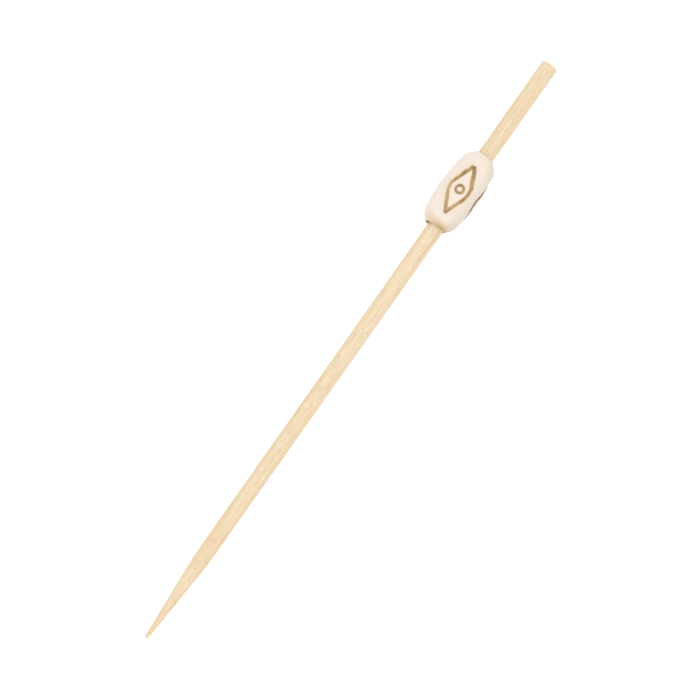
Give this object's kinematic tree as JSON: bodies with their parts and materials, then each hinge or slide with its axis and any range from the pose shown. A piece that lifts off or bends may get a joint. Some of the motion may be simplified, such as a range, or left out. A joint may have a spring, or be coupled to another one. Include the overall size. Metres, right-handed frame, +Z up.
{
  "type": "bamboo skewer",
  "caption": "Round bamboo party skewer with a ground point and a carved barrel-shaped bead near the butt, for holding and serving small food.",
  "frame": {"origin": "on the surface that the skewer lies on, under the middle of its box", "axes": "+X from the point towards the butt, level; +Z up; the stick's own axis lies beside the XZ plane, 0.17 mm towards -Y, and rises 1.7 degrees towards the butt"},
  "size_m": [0.12, 0.0072, 0.0073],
  "materials": {
    "bamboo": "bare straight-grained bamboo, dry and matt",
    "cream_lacquer": "satin cream lacquer, with golden brown stain wiped into the carved grooves"
  },
  "bodies": {
    "root": {"bamboo_stick": "bamboo", "carved_bead": "cream_lacquer"}
  },
  "joints": []
}
